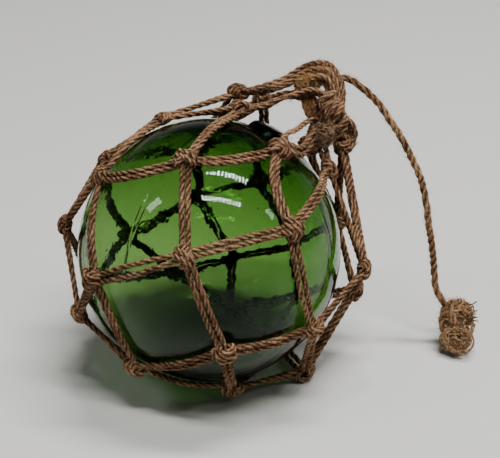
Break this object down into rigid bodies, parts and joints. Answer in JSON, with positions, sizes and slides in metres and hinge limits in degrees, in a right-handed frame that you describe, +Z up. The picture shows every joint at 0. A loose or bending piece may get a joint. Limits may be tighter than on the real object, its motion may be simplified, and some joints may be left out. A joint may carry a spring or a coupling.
{
  "type": "glass fishing float ball",
  "caption": "Sealed ball of green blown glass in a knotted brown cord net, gathered at the shoulder, with a short tail rope that ends in a frayed knot. Stands on a small flat spot.",
  "frame": {"origin": "centre of the small flat spot on the ball's underside, on the surface that it stands on", "axes": "+Z up; +X towards the side where the net is gathered and the tail rope falls; +Y away from the side the picture was taken from"},
  "size_m": [0.2099, 0.1407, 0.1436],
  "materials": {
    "green_glass": "clear green glass, smooth, with a few seeds and a mould seam",
    "net_cord": "matt reddish-brown natural fibre cord, hairy and worn",
    "tail_cord": "matt golden-brown natural fibre cord, hairy and frayed"
  },
  "bodies": {
    "root": {"glass_ball": "green_glass", "net": "net_cord", "tail_rope": "tail_cord", "tail_end_knot": "tail_cord"}
  },
  "joints": []
}
